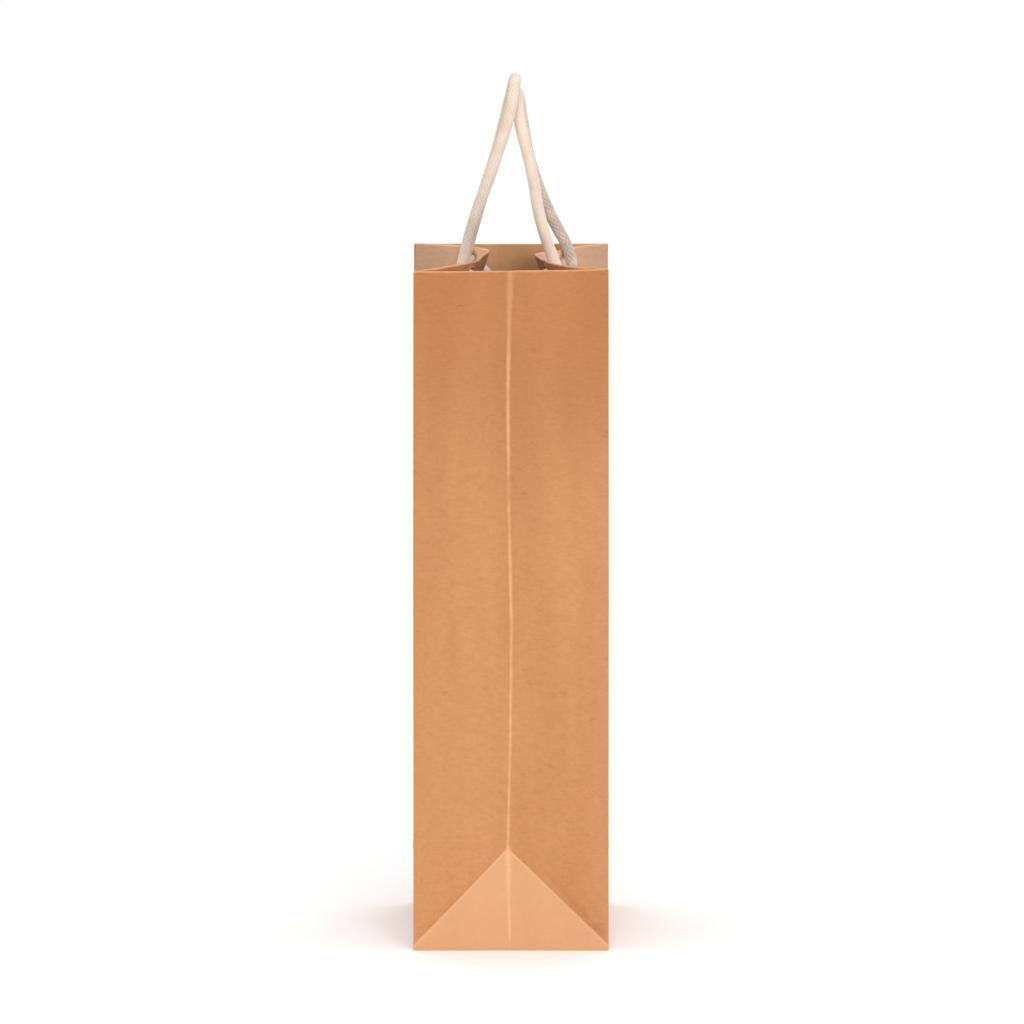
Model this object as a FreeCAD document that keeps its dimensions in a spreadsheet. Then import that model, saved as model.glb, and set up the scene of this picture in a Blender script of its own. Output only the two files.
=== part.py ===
import FreeCAD, Part
import Sketcher
import math
import os

# Square-bottomed kraft paper bag for one bottle, with a rope handle on each wide face.
#
# Millimetres. +Z is up and the origin is the centre of the base. The front panel is at -X and the
# back panel at +X; the gussets are at -Y (right) and +Y (left). The top of the bag is pinched: both
# panels bow inwards above the waist, so the gussets lean in to meet the shorter rim.

doc = FreeCAD.newDocument("bottle_bag")

# ---------------------------------------------------------------- driving dimensions

SIZES = [
    ("bag_height", 350.0),      # base to rim
    ("face_width", 120.0),      # front and back panels, along Y
    ("gusset_width", 100.0),    # sides, along X
    ("paper", 0.35),            # wall thickness
    ("board", 0.8),             # rim cards and base card
    ("ply_gap", 0.05),          # between glued plies
    ("waist_height", 190.0),    # the bag is a plain box below this
    ("rim_inset", 19.1),        # how far each gusset leans in at the rim
    ("gusset_tuck", 2.5),       # how far the gusset's centre crease sits inwards
    ("hem_height", 40.0),       # turned-over top edge
    ("hem_side_gap", 12.0),     # hem ends stop short of the corner creases
    ("rim_card_height", 32.0),
    ("flap_reach", 65.0),       # front and back bottom flaps, across the base
    ("side_flap_reach", 50.0),
    ("flap_taper", 14.0),
    ("glue_flap_width", 15.0),
    ("card_length", 113.0),     # loose card on the bottom
    ("card_width", 97.6),
    ("card_corner", 2.0),
    ("rope_diameter", 6.0),
    ("hole_diameter", 6.8),
    ("hole_drop", 6.5),         # hole centre below the rim
    ("knot_radius", 6.0),
    ("knot_sag", 2.5),          # the knot hangs this far below its hole
    ("knot_tail", 13.0),
]

sheet = doc.addObject("Spreadsheet::Sheet", "Sizes")
for row, (alias, value) in enumerate(SIZES, start=1):
    sheet.set(f"A{row}", alias)
    sheet.set(f"B{row}", str(value))
    sheet.setAlias(f"B{row}", alias)
doc.recompute()


def size(alias):
    """A driving dimension's value, in millimetres."""
    return float(sheet.get(alias))


# Shares of the pinch at the heights where the walls change slope: 0 at the waist, 1 at the rim.
PINCH_STEPS = 4
PINCH_POWER = 1.6
PINCH = [(step / PINCH_STEPS) ** PINCH_POWER for step in range(PINCH_STEPS + 1)]
TUCK_AT_RIM = 0.4               # the centre crease opens out towards the rim

# How far each panel bows inwards at the rim, against the distance along the paper from its right
# edge. The front panel's deepest point is near its left end.
FRONT_BOW = [(0, 0), (27, 19.5), (43, 30.8), (60, 34.2), (78, 36.9), (89, 29.7), (104, 15.4), (120, 0)]
BACK_BOW = [(0, 0), (27, 21.5), (41, 29.5), (62, 35.2), (69, 36.4), (86, 25.0), (98, 17.4), (120, 0)]

# Rope holes, as distances along the paper from the panel's right edge: right hole, left hole.
FRONT_HOLES = (41.0, 87.0)
BACK_HOLES = (48.0, 88.0)

# Each rope's centre line from its right hole to its left hole, leaning in to meet the other.
FRONT_ROPE = [
    (-25.7, -10.0, 343.5), (-20.9, -13.4, 369.0), (-10.8, -15.4, 398.5), (-2.4, -15.0, 428.0),
    (0.6, -6.8, 439.6), (2.0, 6.6, 444.1), (1.0, 19.8, 439.4), (-1.9, 28.0, 428.0),
    (-8.8, 28.8, 399.0), (-17.8, 28.0, 370.0), (-24.1, 27.4, 343.5),
]
BACK_ROPE = [
    (24.5, -8.7, 343.5), (22.5, -9.2, 355.0), (15.7, -10.6, 374.5), (10.6, -11.6, 398.0),
    (6.2, -11.3, 422.4), (4.9, -3.6, 432.3), (4.5, 8.0, 436.5), (4.5, 19.4, 432.6),
    (5.6, 27.2, 422.2), (10.2, 27.6, 397.0), (20.0, 25.2, 374.5), (29.2, 20.3, 355.0),
    (31.0, 19.7, 343.5),
]

# ---------------------------------------------------------------- the pinched walls


def pinch_height(step):
    """Height of one slope change, from the waist to the rim."""
    return size("waist_height") + (size("bag_height") - size("waist_height")) * step / PINCH_STEPS


def pinched_profile(bow, pinch):
    """A panel's outer edge in plan at one share of the pinch, from its right end to its left end.

    Every stretch keeps its length along the paper, so the ends come closer as the panel bows. The
    plan is then fitted to the gussets. Positive first coordinates are towards the bag's middle.
    """
    depths = [pinch * inward for _, inward in bow]
    runs = []
    for index in range(1, len(bow)):
        length = bow[index][0] - bow[index - 1][0]
        rise = depths[index] - depths[index - 1]
        runs.append(math.sqrt(length * length - rise * rise))
    half_chord = size("face_width") / 2 - size("rim_inset") * pinch * pinch
    fit = 2 * half_chord / sum(runs)
    points = [FreeCAD.Vector(0, -half_chord, 0)]
    for depth, run in zip(depths[1:], runs, strict=True):
        points.append(FreeCAD.Vector(depth, points[-1].y + run * fit, 0))
    return points


def profile_at(bow, height):
    """The same edge at any height, straight between the slope changes."""
    step_height = pinch_height(1) - pinch_height(0)
    along = max(0.0, (height - size("waist_height")) / step_height)
    lower = min(int(along), PINCH_STEPS - 1)
    share = along - lower
    below = pinched_profile(bow, PINCH[lower])
    above = pinched_profile(bow, PINCH[lower + 1])
    return [low + (high - low) * share for low, high in zip(below, above, strict=True)]


def point_along(bow, points, distance):
    """The point of a plan edge at a distance along the paper, and the index of its stretch."""
    for index in range(1, len(bow)):
        if distance <= bow[index][0] + 1e-9:
            start, end = bow[index - 1][0], bow[index][0]
            share = (distance - start) / (end - start)
            return points[index - 1] + (points[index] - points[index - 1]) * share, index
    raise ValueError("distance is past the panel's end")


def inward_normal(start, end):
    """Unit normal of one stretch in plan, towards the inside of the bag."""
    along = (end - start).normalize()
    return FreeCAD.Vector(along.y, -along.x, 0)


def offset_edge(bow, height, first, last, depth):
    """A panel's edge from one distance to another, moved inwards by depth."""
    points = profile_at(bow, height)
    start, start_index = point_along(bow, points, first)
    end, end_index = point_along(bow, points, last)
    if first == bow[start_index][0]:
        start_index += 1
    middle = points[start_index:end_index]
    route = [start] + middle + [end]
    normals = [inward_normal(a, b) for a, b in zip(route[:-1], route[1:], strict=True)]
    moved = []
    for index, point in enumerate(route):
        before = normals[max(index - 1, 0)]
        after = normals[min(index, len(normals) - 1)]
        mitre = (before + after) / (1 + before.dot(after))
        moved.append(point + mitre * depth)
    # At a corner crease the panel's edge lies in the gusset's plane.
    if first == bow[0][0]:
        moved[0] = start + FreeCAD.Vector(depth / normals[0].x, 0, 0)
    if last == bow[-1][0]:
        moved[-1] = end + FreeCAD.Vector(depth / normals[-1].x, 0, 0)
    return moved


def heights_between(low, high):
    """The two heights given and each slope change between them."""
    changes = [pinch_height(step) for step in range(PINCH_STEPS + 1)]
    return [low] + [height for height in changes if low < height < high] + [high]


def place_on_side(point, side, height):
    """A plan point of a panel as a point of the bag: side is -1 for the front, +1 for the back."""
    across = side * (size("gusset_width") / 2 - point.x)
    return FreeCAD.Vector(across, point.y, height)


def panel_ply(label, side, bow, span, depth, thickness, low, high, holes=()):
    """One ply of a wide face, from height low to high, following the panel's bow."""
    wires = []
    for height in heights_between(low, high):
        outer = offset_edge(bow, height, span[0], span[1], depth)
        inner = offset_edge(bow, height, span[0], span[1], depth + thickness)
        ring = [place_on_side(point, side, height) for point in outer + inner[::-1]]
        wires.append(Part.makePolygon(ring + ring[:1]))
    shape = Part.makeLoft(wires, True, True)
    for distance in holes:
        centre, outward = rope_hole(side, bow, distance)
        reach = 5 * size("rope_diameter")
        radius = size("hole_diameter") / 2
        shape = shape.cut(Part.makeCylinder(radius, reach, centre - outward * reach / 2, outward))
    piece = doc.addObject("Part::Feature", label)
    piece.Label = label
    piece.Shape = shape
    piece.Placement = FreeCAD.Placement()
    return piece


def rope_hole(side, bow, distance):
    """Centre of a rope hole on the panel's outer face, and the level direction out of the bag."""
    height = size("bag_height") - size("hole_drop")
    points = profile_at(bow, height)
    centre, index = point_along(bow, points, distance)
    inward = inward_normal(points[index - 1], points[index])
    outward = FreeCAD.Vector(side * inward.x, -inward.y, 0)
    return place_on_side(centre, side, height), outward


FACES = [("front", -1, FRONT_BOW, FRONT_HOLES), ("back", 1, BACK_BOW, BACK_HOLES)]
PLY = size("paper") + size("ply_gap")

for name, side, bow, holes in FACES:
    width = size("face_width")
    rim = size("bag_height")
    hem_span = (size("hem_side_gap"), width - size("hem_side_gap"))
    panel_ply(f"{name}_panel", side, bow, (0, width), 0, size("paper"), 0, rim, holes)
    panel_ply(f"{name}_rim_card", side, bow, hem_span, PLY, size("board"),
              rim - size("rim_card_height"), rim - PLY, holes)
    panel_ply(f"{name}_hem", side, bow, hem_span, PLY + size("board") + size("ply_gap"),
              size("paper"), rim - size("hem_height"), rim - PLY, holes)

GLUE_FLAP_TOP_GAP = 2.0         # below the hem
BASE_STACK = 2.6                # flaps and card
panel_ply("glue_flap", 1, BACK_BOW,
          (size("face_width") - size("glue_flap_width") - 1, size("face_width") - 1), PLY,
          size("paper"), BASE_STACK, size("bag_height") - size("hem_height") - GLUE_FLAP_TOP_GAP)

# ---------------------------------------------------------------- sketched pieces


def origin_plane(body, role):
    """One of a body's own origin planes, such as XY_Plane."""
    return next(item for item in body.Origin.OriginFeatures if item.Role == role)


def bind_polygon(sketch, corners):
    """Draw a closed polygon whose corners are pairs of expressions on the sheet."""
    places = []
    for across, up in corners:
        places.append(FreeCAD.Vector(float(sheet.evalExpression(across)),
                                     float(sheet.evalExpression(up)), 0))
    count = len(places)
    for index in range(count):
        sketch.addGeometry(Part.LineSegment(places[index], places[(index + 1) % count]), False)
    for index in range(count):
        sketch.addConstraint(Sketcher.Constraint("Coincident", index, 2, (index + 1) % count, 1))
    for index, expressions in enumerate(corners):
        for kind, text, value in zip(("DistanceX", "DistanceY"), expressions,
                                     (places[index].x, places[index].y), strict=True):
            at = sketch.addConstraint(Sketcher.Constraint(kind, -1, 1, index, 1, value))
            sketch.setExpression(f"Constraints[{at}]", text)


def new_sketch(body, role, name, corners, offset="0"):
    """A polygon on one of the body's origin planes, moved along the plane's normal by offset."""
    sketch = body.newObject("Sketcher::SketchObject", name)
    sketch.AttachmentSupport = [(origin_plane(body, role), "")]
    sketch.MapMode = "FlatFace"
    sketch.setExpression("AttachmentOffset.Base.z", offset)
    bind_polygon(sketch, corners)
    return sketch


def new_body(label):
    body = doc.addObject("PartDesign::Body", label)
    body.Label = label
    return body


HALF_GUSSET = "Sizes.gusset_width / 2"
HALF_FACE = "Sizes.face_width / 2"


def gusset_half(label, side, half):
    """One half of a gusset: side is -1 (right) or +1 (left), half is -1 (front) or +1 (back)."""
    body = new_body(label)
    steps = [(f"Sizes.waist_height * {share}", 0.0) for share in (0, 1)]
    for step in range(1, PINCH_STEPS + 1):
        rise = "(Sizes.bag_height - Sizes.waist_height)"
        steps.append((f"Sizes.waist_height + {rise} * {step / PINCH_STEPS}", PINCH[step]))
    bow = FRONT_BOW if half < 0 else BACK_BOW
    sketches = []
    for index, (height, pinch) in enumerate(steps):
        points = pinched_profile(bow, pinch)
        end = points[:2] if side < 0 else points[:-3:-1]
        lean = (end[1] - end[0]).normalize()
        opening = math.atan2(abs(lean.y), lean.x)
        seat = 1 / math.tan(opening / 2)
        tuck = f"Sizes.gusset_tuck * {1 - (1 - TUCK_AT_RIM) * pinch}"
        edge_x = f"{half} * ({HALF_GUSSET} - Sizes.paper * {seat} - Sizes.ply_gap)"
        mid_x = f"{half} * Sizes.ply_gap"
        edge_y = f"{HALF_FACE} - Sizes.rim_inset * {pinch * pinch}"
        corners = [
            (edge_x, f"{side} * ({edge_y})"),
            (mid_x, f"{side} * ({edge_y} - {tuck})"),
            (mid_x, f"{side} * ({edge_y} - {tuck} - Sizes.paper)"),
            (edge_x, f"{side} * ({edge_y} - Sizes.paper)"),
        ]
        sketches.append(new_sketch(body, "XY_Plane", f"{label}_level_{index}", corners, height))
    loft = body.newObject("PartDesign::AdditiveLoft", f"{label}_sheet")
    loft.Profile = sketches[0]
    loft.Sections = sketches[1:]
    loft.Ruled = True
    below = [
        (f"{-half}", "-1"),
        (f"{-half}", f"{HALF_GUSSET} + 1 + 2 * Sizes.ply_gap"),
        (f"{half} * ({HALF_GUSSET} + 1)", "-1 + 2 * Sizes.ply_gap"),
        (f"{half} * ({HALF_GUSSET} + 1)", "-1"),
    ]
    diagonal = new_sketch(body, "XZ_Plane", f"{label}_diagonal", below)
    pocket = body.newObject("PartDesign::Pocket", f"{label}_diagonal_cut")
    pocket.Profile = diagonal
    pocket.Type = "ThroughAll"
    pocket.Midplane = True
    return body


def gusset_triangle(label, side):
    """The triangle at a gusset's foot: its point sits inwards with the centre crease."""
    body = new_body(label)
    corners = [
        (f"-({HALF_GUSSET} - Sizes.paper - 3 * Sizes.ply_gap)", "Sizes.ply_gap"),
        (f"{HALF_GUSSET} - Sizes.paper - 3 * Sizes.ply_gap", "Sizes.ply_gap"),
        ("0", f"{HALF_GUSSET} - Sizes.paper - 2 * Sizes.ply_gap"),
    ]
    sketch = new_sketch(body, "XZ_Plane", f"{label}_outline", corners)
    pad = body.newObject("PartDesign::Pad", f"{label}_sheet")
    pad.Profile = sketch
    pad.setExpression("Length", "Sizes.paper")
    pad.Reversed = side < 0
    body.setExpression("Placement.Base.y", f"{side} * {HALF_FACE}")
    body.setExpression("Placement.Rotation.Angle",
                       f"atan(Sizes.gusset_tuck / ({HALF_GUSSET}))")
    body.setExpression("Placement.Rotation.Axis.x", f"{side}")
    body.setExpression("Placement.Rotation.Axis.z", "0")
    return body


def gusset_hem(label, side):
    """The turned-over top of a gusset, bent at the centre crease like the gusset."""
    body = new_body(label)
    sketches = []
    for index, step in enumerate((PINCH_STEPS - 1, PINCH_STEPS)):
        tuck = f"Sizes.gusset_tuck * {1 - (1 - TUCK_AT_RIM) * PINCH[step]}"
        edge_x = f"({HALF_GUSSET} - Sizes.hem_side_gap)"
        edge_tuck = f"{tuck} * Sizes.hem_side_gap / ({HALF_GUSSET})"
        face_y = (f"{HALF_FACE} - Sizes.rim_inset * {PINCH[step] ** 2}"
                  " - Sizes.paper - 2 * Sizes.ply_gap")
        corners = [
            (f"-{edge_x}", f"{side} * ({face_y} - {edge_tuck})"),
            ("0", f"{side} * ({face_y} - {tuck})"),
            (edge_x, f"{side} * ({face_y} - {edge_tuck})"),
            (edge_x, f"{side} * ({face_y} - {edge_tuck} - Sizes.paper)"),
            ("0", f"{side} * ({face_y} - {tuck} - Sizes.paper)"),
            (f"-{edge_x}", f"{side} * ({face_y} - {edge_tuck} - Sizes.paper)"),
        ]
        height = "Sizes.bag_height - Sizes.hem_height" if index == 0 else "Sizes.bag_height"
        sketches.append(new_sketch(body, "XY_Plane", f"{label}_level_{index}", corners, height))
    loft = body.newObject("PartDesign::AdditiveLoft", f"{label}_sheet")
    loft.Profile = sketches[0]
    loft.Sections = sketches[1:]
    loft.Ruled = True
    return body


def flat_sheet(label, corners, thickness, height):
    """A flat piece of paper or board lying at a height above the floor."""
    body = new_body(label)
    sketch = new_sketch(body, "XY_Plane", f"{label}_outline", corners, height)
    pad = body.newObject("PartDesign::Pad", f"{label}_sheet")
    pad.Profile = sketch
    pad.setExpression("Length", thickness)
    return body


for name, side in (("right", -1), ("left", 1)):
    for half_name, half in (("front", -1), ("back", 1)):
        gusset_half(f"{name}_gusset_{half_name}_half", side, half)
    gusset_triangle(f"{name}_gusset_triangle", side)
    gusset_hem(f"{name}_hem", side)

# The bottom flaps lie one on another: the back one outermost, then the front one, then the sides.
WALL = "(Sizes.paper + 2 * Sizes.ply_gap)"
PLY_RISE = "(Sizes.paper + Sizes.ply_gap)"
for name, side, layer in (("back", 1, 0), ("front", -1, 1)):
    fold_x = f"{side} * ({HALF_GUSSET} - {WALL})"
    edge_x = f"{side} * ({HALF_GUSSET} - {WALL} - Sizes.flap_reach)"
    fold_y = f"({HALF_FACE} - {WALL})"
    edge_y = f"({HALF_FACE} - {WALL} - Sizes.flap_taper)"
    outline = [(fold_x, f"-{fold_y}"), (edge_x, f"-{edge_y}"), (edge_x, edge_y), (fold_x, fold_y)]
    flat_sheet(f"{name}_bottom_flap", outline, "Sizes.paper", f"{layer} * {PLY_RISE}")
for name, side in (("right", -1), ("left", 1)):
    fold_y = f"{side} * ({HALF_FACE} - {WALL})"
    edge_y = f"{side} * ({HALF_FACE} - {WALL} - Sizes.side_flap_reach)"
    fold_x = f"({HALF_GUSSET} - {WALL})"
    edge_x = f"({HALF_GUSSET} - {WALL} - Sizes.flap_taper)"
    outline = [(f"-{fold_x}", fold_y), (f"-{edge_x}", edge_y), (edge_x, edge_y), (fold_x, fold_y)]
    flat_sheet(f"{name}_bottom_flap", outline, "Sizes.paper", f"2 * {PLY_RISE}")

card_x = "Sizes.card_width / 2"
card_y = "Sizes.card_length / 2"
card = flat_sheet("base_card", [(f"-{card_x}", f"-{card_y}"), (card_x, f"-{card_y}"),
                                (card_x, card_y), (f"-{card_x}", card_y)],
                  "Sizes.board", f"3 * {PLY_RISE} + Sizes.ply_gap")
doc.recompute()
card_pad = card.Tip
upright_edges = []
for number, edge in enumerate(card_pad.Shape.Edges, start=1):
    if abs(edge.Vertexes[0].Z - edge.Vertexes[-1].Z) > size("board") / 2:
        upright_edges.append(f"Edge{number}")
corners_cut = card.newObject("PartDesign::Fillet", "base_card_corners")
corners_cut.Base = (card_pad, upright_edges)
corners_cut.setExpression("Radius", "Sizes.card_corner")

# ---------------------------------------------------------------- ropes and knots

ARC_SHARE = 0.45                # of the shorter run beside a bend


def rounded_route(points):
    """Straight runs joined by tangent arcs, as one wire, and the radius of each arc."""
    corners = [FreeCAD.Vector(*point) for point in points]
    edges = []
    radii = []
    start = corners[0]
    for before, corner, after in zip(corners[:-2], corners[1:-1], corners[2:], strict=True):
        back = (before - corner).normalize()
        ahead = (after - corner).normalize()
        trim = ARC_SHARE * min((before - corner).Length, (after - corner).Length)
        half_turn = (math.pi - back.getAngle(ahead)) / 2
        radius = trim / math.tan(half_turn)
        to_centre = (back + ahead).normalize()
        centre = corner + to_centre * math.hypot(radius, trim)
        entry = corner + back * trim
        leave = corner + ahead * trim
        edges.append(Part.LineSegment(start, entry).toShape())
        edges.append(Part.Arc(entry, centre - to_centre * radius, leave).toShape())
        start = leave
        radii.append(radius)
    edges.append(Part.LineSegment(start, corners[-1]).toShape())
    return Part.Wire(edges), radii


def handle_rope(label, points):
    """A rope from hole to hole, rounded where it turns out of each hole."""
    route, radii = rounded_route(points)
    radius = size("rope_diameter") / 2
    first = FreeCAD.Vector(*points[0])
    heading = FreeCAD.Vector(*points[1]) - first
    section = Part.Wire(Part.makeCircle(radius, first, heading))
    tube = route.makePipeShell([section], True, False)
    expected = math.pi * radius ** 2 * route.Length
    print(f"{label}: {route.Length:.1f} mm long, bend radii",
          " ".join(f"{value:.0f}" for value in radii),
          f"mm, volume {tube.Volume / expected:.4f} of section x length")
    ends = [Part.makeSphere(radius, FreeCAD.Vector(*point)) for point in (points[0], points[-1])]
    rope = doc.addObject("Part::Feature", label)
    rope.Label = label
    rope.Shape = tube.fuse(ends).removeSplitter()
    rope.Placement = FreeCAD.Placement()
    return rope


def rope_knot(label, side, bow, distance, lean):
    """The knot behind a rope hole: a ball, the rope through the hole, and a hanging tail."""
    centre, outward = rope_hole(side, bow, distance)
    stack = size("board") + 2 * size("paper") + 3 * size("ply_gap")
    shank_start = centre - outward * (stack + size("knot_radius"))
    ball_centre = shank_start - FreeCAD.Vector(0, 0, size("knot_sag"))
    ball = doc.addObject("Part::Sphere", f"{label}_ball")
    ball.setExpression("Radius", "Sizes.knot_radius")
    ball.Placement.Base = ball_centre
    shank = doc.addObject("Part::Cylinder", f"{label}_shank")
    shank.setExpression("Radius", "Sizes.rope_diameter / 2")
    shank.setExpression("Height", "Sizes.knot_radius + Sizes.board + 2 * Sizes.paper + 3 * Sizes.ply_gap")
    shank.Placement = FreeCAD.Placement(shank_start,
                                        FreeCAD.Rotation(FreeCAD.Vector(0, 0, 1), outward))
    tail = doc.addObject("Part::Cylinder", f"{label}_tail")
    tail.setExpression("Radius", "Sizes.rope_diameter / 2")
    tail.setExpression("Height", "Sizes.knot_tail")
    hang = FreeCAD.Vector(-lean * outward.x, -lean * outward.y, -1)
    tail.Placement = FreeCAD.Placement(ball_centre,
                                       FreeCAD.Rotation(FreeCAD.Vector(0, 0, 1), hang))
    knot = doc.addObject("Part::MultiFuse", label)
    knot.Shapes = [ball, shank, tail]
    knot.Label = label
    return knot


handle_rope("front_handle_rope", FRONT_ROPE)
handle_rope("back_handle_rope", BACK_ROPE)
TAIL_LEAN = 0.1
for name, side, bow, holes in FACES:
    for end_name, distance in zip(("right", "left"), holes, strict=True):
        rope_knot(f"{name}_{end_name}_knot", side, bow, distance, TAIL_LEAN)

# ---------------------------------------------------------------- checks and export

NODES = [
    "front_panel", "back_panel", "glue_flap",
    "right_gusset_front_half", "right_gusset_back_half", "right_gusset_triangle",
    "left_gusset_front_half", "left_gusset_back_half", "left_gusset_triangle",
    "front_hem", "back_hem", "right_hem", "left_hem", "front_rim_card", "back_rim_card",
    "front_bottom_flap", "back_bottom_flap", "right_bottom_flap", "left_bottom_flap", "base_card",
    "front_handle_rope", "back_handle_rope",
    "front_right_knot", "front_left_knot", "back_right_knot", "back_left_knot",
]

doc.recompute()
for item in doc.Objects:
    if {"Invalid", "Error"} & set(item.State):
        raise RuntimeError(f"{item.Label} did not recompute: {item.State}")
os.makedirs("parts", exist_ok=True)
for label in NODES:
    shape = doc.getObjectsByLabel(label)[0].Shape
    if shape.isNull() or not shape.isValid() or len(shape.Solids) != 1:
        raise RuntimeError(f"{label} is not one valid solid")
    print(f"{label}: {shape.Volume:.1f} mm3")
for label in NODES:
    doc.getObjectsByLabel(label)[0].Shape.exportStep(f"parts/{label}.step")
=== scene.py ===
import math

import bmesh
import bpy
import numpy as np
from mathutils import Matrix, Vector, noise


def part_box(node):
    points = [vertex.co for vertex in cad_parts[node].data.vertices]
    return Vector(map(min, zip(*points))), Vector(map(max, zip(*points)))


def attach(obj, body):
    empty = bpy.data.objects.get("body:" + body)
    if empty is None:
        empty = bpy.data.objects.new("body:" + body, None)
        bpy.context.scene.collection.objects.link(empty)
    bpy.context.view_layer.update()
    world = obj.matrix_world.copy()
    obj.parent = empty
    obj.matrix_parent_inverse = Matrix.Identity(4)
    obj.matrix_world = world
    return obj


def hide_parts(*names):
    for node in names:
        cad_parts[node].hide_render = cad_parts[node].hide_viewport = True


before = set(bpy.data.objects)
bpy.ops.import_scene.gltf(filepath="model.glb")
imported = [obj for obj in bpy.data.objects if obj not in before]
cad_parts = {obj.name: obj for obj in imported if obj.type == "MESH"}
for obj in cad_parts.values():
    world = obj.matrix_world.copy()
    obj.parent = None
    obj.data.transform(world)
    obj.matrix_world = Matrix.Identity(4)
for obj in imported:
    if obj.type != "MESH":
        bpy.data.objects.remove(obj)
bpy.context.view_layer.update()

# Kraft paper bottle bag with two rope handles. The outer sizes are read from the CAD frame, and the
# folded shape repeats the CAD's dimensions; this script folds the paper, braids the rope and ties the
# knots over it. Lengths are in metres, except where a comment says millimetres.

MM = 0.001

# ---------------------------------------------------------------- places read from the frame

HALF_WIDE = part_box("front_panel")[1][1]   # half a wide face, along Y
HALF_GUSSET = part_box("back_panel")[1][0]  # half a gusset, along X
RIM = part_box("front_panel")[1][2]
HEM_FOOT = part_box("right_hem")[0][2]
FOOT_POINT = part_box("right_gusset_triangle")[1][2]
CARD_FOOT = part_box("front_rim_card")[0][2]
GLUE_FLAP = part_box("glue_flap")

# ---------------------------------------------------------------- the CAD's own driving dimensions

WAIST = 0.190       # the bag is a plain box below this
RIM_INSET = 0.0191  # how far each gusset leans in at the rim
PINCH_POWER = 1.6
TUCK = 0.0025       # the gusset's centre crease, inwards
PAPER = 0.00035

# How far each wide face bows inwards at the rim, against the distance along the paper from its right
# edge, in millimetres, as in the CAD.
FRONT_BOW = [(0, 0), (27, 19.5), (43, 30.8), (60, 34.2), (78, 36.9), (89, 29.7), (104, 15.4), (120, 0)]
BACK_BOW = [(0, 0), (27, 21.5), (41, 29.5), (62, 35.2), (69, 36.4), (86, 25.0), (98, 17.4), (120, 0)]
# The rope holes' places along the paper, in millimetres.
FRONT_HOLES = (41.0, 87.0)
BACK_HOLES = (48.0, 88.0)
HOLE_DROP = 0.0065  # from the rim down to a hole's centre
HOLE_HEIGHT = RIM - HOLE_DROP

# Each rope's route from its right hole to its left hole, in millimetres. They lie within 3 mm of the
# CAD's routes.
FRONT_ROPE = [
    (-25.7, -10.0, 343.5), (-21.4, -13.4, 366.0), (-9.6, -15.4, 398.5), (-0.3, -15.0, 427.0),
    (1.6, -6.8, 438.2), (2.3, 6.6, 442.7), (1.7, 19.9, 438.3), (-0.7, 28.2, 427.2),
    (-7.4, 28.8, 399.0), (-17.2, 28.0, 370.0), (-24.1, 27.4, 343.5),
]
BACK_ROPE = [
    (24.5, -8.7, 343.5), (20.6, -9.4, 353.0), (14.0, -10.6, 374.5), (11.2, -11.6, 396.0),
    (4.4, -11.3, 421.4), (3.4, -3.6, 430.8), (3.2, 8.0, 434.6), (3.9, 18.9, 430.8),
    (5.2, 26.7, 420.9), (9.0, 27.6, 396.0), (17.0, 25.2, 374.5), (23.6, 21.9, 361.5), (29.4, 19.5, 352.0),
    (31.0, 19.7, 343.5),
]
ROPE_DIAMETER = 0.006

# ---------------------------------------------------------------- camera

CAMERA_ELEVATION = math.radians(10.8)
CAMERA_DISTANCE = 12.0
SENSOR = 36.0
VIEW_WIDTH = 0.5255  # seen at the target
TARGET = Vector((0.0005, 0.0, 0.2173))


def add_camera():
    data = bpy.data.cameras.new("camera")
    camera = bpy.data.objects.new("camera", data)
    bpy.context.scene.collection.objects.link(camera)
    away = Vector((0, -math.cos(CAMERA_ELEVATION), math.sin(CAMERA_ELEVATION)))
    camera.location = TARGET + away * CAMERA_DISTANCE
    camera.rotation_euler = away.to_track_quat("Z", "Y").to_euler()
    data.sensor_width = SENSOR
    data.lens = SENSOR * CAMERA_DISTANCE / VIEW_WIDTH
    data.clip_end = 40
    bpy.context.scene.camera = camera


add_camera()

# ---------------------------------------------------------------- node helpers


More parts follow.
